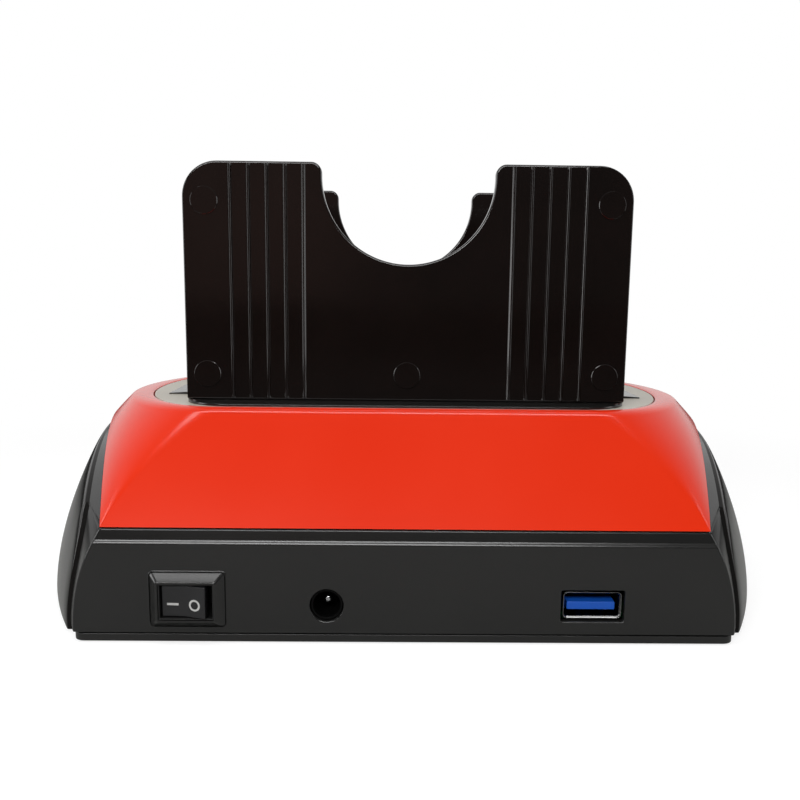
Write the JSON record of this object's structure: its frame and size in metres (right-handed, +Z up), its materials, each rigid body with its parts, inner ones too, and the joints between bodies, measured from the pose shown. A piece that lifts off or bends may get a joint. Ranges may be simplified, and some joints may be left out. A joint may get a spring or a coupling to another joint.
{
  "type": "hard drive docking station",
  "caption": "Two-bay hard drive docking station with a red cover, black housing, upright guide plates, rocker switch, power jack and USB socket",
  "frame": {"origin": "centre of the standing face, on the surface that the feet rest on", "axes": "+X right and +Y away as seen from the socket side, +Z up"},
  "size_m": [0.192, 0.1211, 0.11],
  "materials": {
    "black_housing": "moulded black ABS with a soft gloss",
    "black_cheek": "polished black ABS",
    "red_cover": "glossy orange-red painted ABS",
    "grey_panel": "satin warm grey ABS",
    "guide_plate": "polished black polycarbonate",
    "steel": "plated steel",
    "socket_shell": "bright nickel plate",
    "board": "green solder mask",
    "chip": "black moulding compound",
    "socket_black": "black glass-filled nylon",
    "gold_contact": "gold flashed bronze",
    "blue_tongue": "blue connector plastic",
    "rocker": "satin black nylon",
    "wire": "red insulated wire",
    "plunger": "ivory plastic",
    "clear_pipe": "clear acrylic",
    "foot_rubber": "black rubber"
  },
  "bodies": {
    "dock": {"base_tray": "black_housing", "body_shell": "black_housing", "top_cover": "red_cover", "side_cheek_left": "black_cheek", "side_cheek_right": "black_cheek", "top_panel": "grey_panel", "bay_insert": "black_housing", "rear_guide_plate": "guide_plate", "front_guide_plate": "guide_plate", "rear_flap_pin": "steel", "front_flap_pin": "steel", "rear_flap_spring": "steel", "front_flap_spring": "steel", "main_board": "board", "bridge_chip": "chip", "crystal": "steel", "capacitors": "socket_shell", "power_coil": "chip", "rear_sata_socket": "socket_black", "front_sata_socket": "socket_black", "sata_contacts": "gold_contact", "usb_shell": "socket_shell", "usb_tongue": "blue_tongue", "usb_contacts": "gold_contact", "power_jack_body": "socket_black", "power_jack_pin": "steel", "switch_housing": "socket_black", "switch_terminals": "steel", "switch_leads": "wire", "button_switch": "chip", "status_leds": "clear_pipe", "light_pipes": "clear_pipe", "feet": "foot_rubber", "base_screws": "steel", "board_screws": "steel"},
    "rear_flap": {"rear_flap": "black_housing"},
    "front_flap": {"front_flap": "black_housing"},
    "rocker": {"switch_rocker": "rocker"},
    "button": {"clone_button": "black_cheek", "button_plunger": "plunger"}
  },
  "joints": [
    {"name": "rear_flap_hinge", "type": "hinge", "parent": "dock", "child": "rear_flap", "pos_m": [0, -0.0309, 0.0444], "axis": [-1, 0, 0], "range_deg": [0, 90], "stiffness_Nm_per_rad": 0.006, "springref_deg": -20.05},
    {"name": "front_flap_hinge", "type": "hinge", "parent": "dock", "child": "front_flap", "pos_m": [0, 0.0309, 0.0444], "axis": [1, 0, 0], "range_deg": [0, 90], "stiffness_Nm_per_rad": 0.006, "springref_deg": -20.05},
    {"name": "switch_rock", "type": "hinge", "parent": "dock", "child": "rocker", "pos_m": [-0.0493, -0.0573, 0.0104], "axis": [0, 0, 1], "range_deg": [0, 20]},
    {"name": "button_press", "type": "slide", "parent": "dock", "child": "button", "axis": [0, -1, 0], "range_m": [0, 0.0008], "stiffness_N_per_m": 400, "springref_m": -0.0004}
  ]
}
